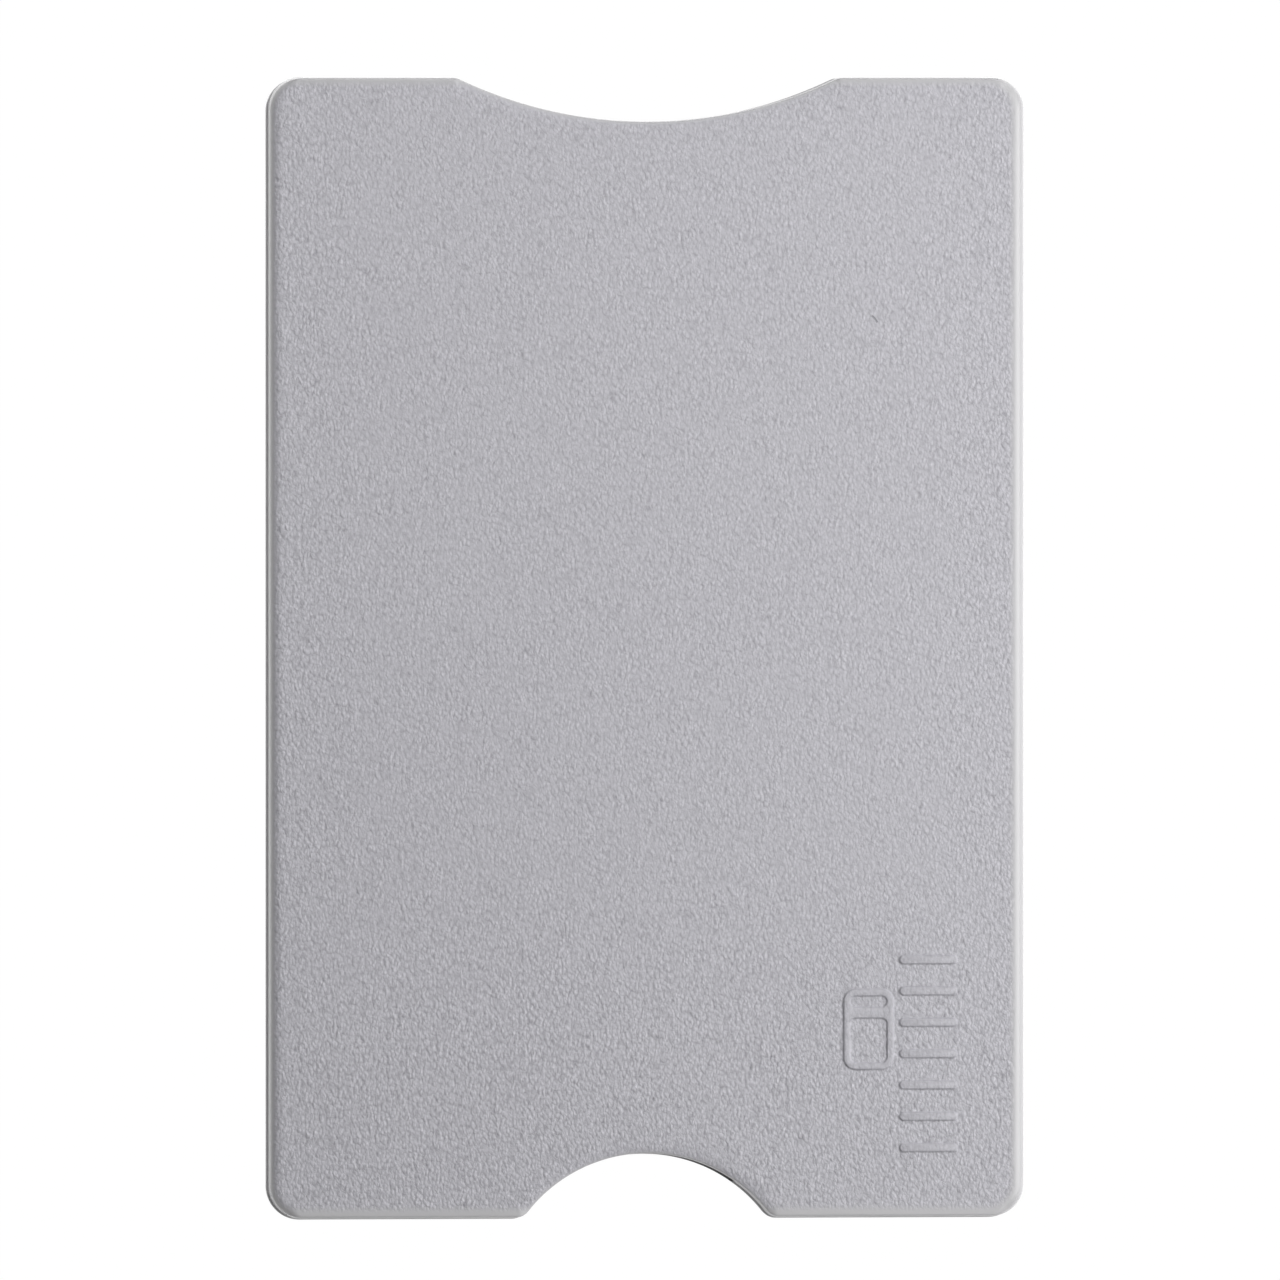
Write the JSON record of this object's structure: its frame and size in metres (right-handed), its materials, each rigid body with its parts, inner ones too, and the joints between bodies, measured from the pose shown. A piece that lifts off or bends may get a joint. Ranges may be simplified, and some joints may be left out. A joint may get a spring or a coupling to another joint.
{
  "type": "hard card case",
  "caption": "Slim rigid sleeve for one bank-size card: two welded half shells with a card slot, a wide cut at the mouth, a thumb notch and a shielding foil in each plate.",
  "frame": {"origin": "middle of the back face, which the case lies on", "axes": "+X across the case, to the right when the front face is seen with the mouth up; +Y along the case towards the mouth; +Z out of the grained front face"},
  "size_m": [0.0606, 0.091, 0.0039],
  "materials": {
    "shell_plastic": "silver-grey pigmented plastic with a fine moulded grain on the faces and smooth satin edges",
    "shield_foil": "thin rolled foil, bright, slightly creased",
    "foil_adhesive": "clear pressure-sensitive film"
  },
  "bodies": {
    "root": {"front_shell": "shell_plastic", "back_shell": "shell_plastic", "front_shield_foil": "shield_foil", "back_shield_foil": "shield_foil", "front_foil_adhesive": "foil_adhesive", "back_foil_adhesive": "foil_adhesive"}
  },
  "joints": []
}
